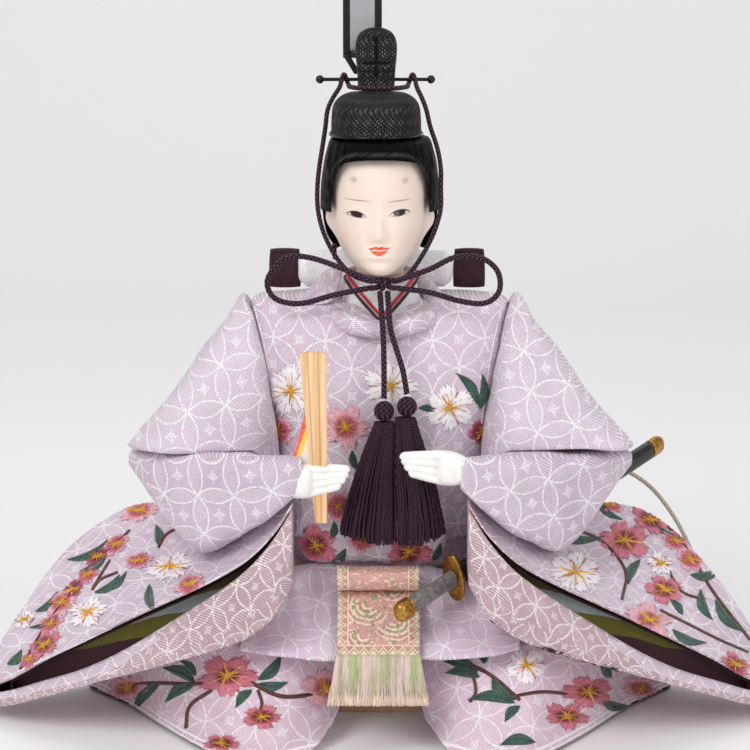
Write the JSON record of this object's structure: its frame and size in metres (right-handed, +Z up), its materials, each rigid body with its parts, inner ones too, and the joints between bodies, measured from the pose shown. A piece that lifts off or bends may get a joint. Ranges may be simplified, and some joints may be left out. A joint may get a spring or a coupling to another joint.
{
  "type": "hina doll",
  "caption": "Seated emperor doll in court dress: wide stiff sleeves, lacquered hat with a standing tail, tasselled chin cord, flat baton and a sword through the robe.",
  "frame": {"origin": "centre of the torso on the floor plane, on the base board's underside", "axes": "+Z up, the doll faces -Y, its left hand is towards +X"},
  "size_m": [0.272, 0.1131, 0.32],
  "materials": {
    "damask": "woven silk damask",
    "damask_mauve": "woven silk damask, deeper",
    "maroon_cloth": "dark plain silk",
    "inner_robes": "plain silk, olive and grey",
    "white_cloth": "white silk, padded",
    "red_cloth": "red silk edge",
    "brown_cloth": "dark brown silk edge",
    "brocade": "brocade with metal thread",
    "fringe_cloth": "frayed silk threads",
    "cord": "braided silk cord",
    "tassel_thread": "twisted silk strands",
    "cream_cord": "stiff twisted cord",
    "face": "painted shell white, satin",
    "hand": "painted white",
    "hair": "combed silk thread, glossy",
    "hat_lacquer": "lacquered gauze",
    "hat_gauze": "sheer stiff gauze",
    "plain_wood": "bare wood",
    "straw": "bound straw",
    "wire": "plain wire",
    "paper": "folded coloured paper",
    "gold_metal": "gilt",
    "grip_wrap": "grey ribbed wrap",
    "scabbard_lacquer": "black lacquer"
  },
  "bodies": {
    "body": {"base_board": "plain_wood", "torso_core": "straw", "arm_wire": "wire", "robe_body": "damask", "robe_waist_fold": "damask", "robe_lap": "damask", "knee_left": "damask", "knee_right": "damask", "robe_back_skirt": "damask", "sleeve_upper_left": "damask", "sleeve_upper_right": "damask", "sleeve_lower_left": "damask", "sleeve_lower_right": "damask", "sleeve_bag_left": "damask_mauve", "sleeve_bag_right": "damask_mauve", "sleeve_lining_left": "maroon_cloth", "sleeve_lining_right": "maroon_cloth", "inner_layers_left": "inner_robes", "inner_layers_right": "inner_robes", "round_collar": "damask", "collar_flap": "damask", "under_collar_white": "white_cloth", "under_collar_red": "red_cloth", "under_collar_brown": "brown_cloth", "back_collar_roll": "white_cloth", "collar_tab_left": "maroon_cloth", "collar_tab_right": "maroon_cloth", "waist_belt": "maroon_cloth", "sash_roll": "brocade", "sash_panel": "brocade", "sash_fringe": "fringe_cloth", "hand_left": "hand", "hand_right": "hand", "folded_paper": "paper", "back_cord": "cream_cord"},
    "head": {"head": "face", "hair": "hair", "hat_cap": "hat_lacquer", "hat_crown": "hat_lacquer", "hat_pin": "hat_lacquer", "chin_cord": "cord", "bow_knot": "cord", "bow_loop_left": "cord", "bow_loop_right": "cord", "cord_end": "cord"},
    "neck_peg": {"neck_peg": "plain_wood"},
    "hat_tail": {"tail_frame": "hat_lacquer", "tail_gauze": "hat_gauze"},
    "tassel_left": {"drop_cord_left": "cord", "tassel_knot_left": "cord", "tassel_fringe_left": "tassel_thread"},
    "tassel_right": {"drop_cord_right": "cord", "tassel_knot_right": "cord", "tassel_fringe_right": "tassel_thread"},
    "shaku": {"shaku": "plain_wood"},
    "sword": {"sword_pommel": "gold_metal", "sword_grip": "grip_wrap", "sword_guard": "gold_metal", "sword_scabbard": "scabbard_lacquer", "scabbard_tip": "gold_metal"}
  },
  "joints": [
    {"name": "neck_lift", "type": "slide", "parent": "body", "child": "neck_peg", "axis": [0, 0, 1], "range_m": [0, 0.045]},
    {"name": "head_turn", "type": "hinge", "parent": "neck_peg", "child": "head", "pos_m": [0, 0.002, 0.1413], "axis": [0, 0, 1], "range_deg": [-4, 4]},
    {"name": "tail_pull", "type": "slide", "parent": "head", "child": "hat_tail", "axis": [0, 0, 1], "range_m": [0, 0.008]},
    {"name": "tassel_swing_right", "type": "hinge", "parent": "head", "child": "tassel_right", "pos_m": [0.001, -0.0226, 0.1488], "axis": [0, 1, 0], "range_deg": [0, 2.5]},
    {"name": "tassel_swing_left", "type": "hinge", "parent": "head", "child": "tassel_left", "pos_m": [0.001, -0.0226, 0.1488], "axis": [0, 1, 0], "range_deg": [-2.5, 0]},
    {"name": "shaku_slide", "type": "slide", "parent": "body", "child": "shaku", "axis": [0, 0, 1], "range_m": [0, 0.05]},
    {"name": "sword_slide", "type": "slide", "parent": "body", "child": "sword", "axis": [-0.6475, -0.7307, -0.2165], "range_m": [0, 0.06]}
  ]
}
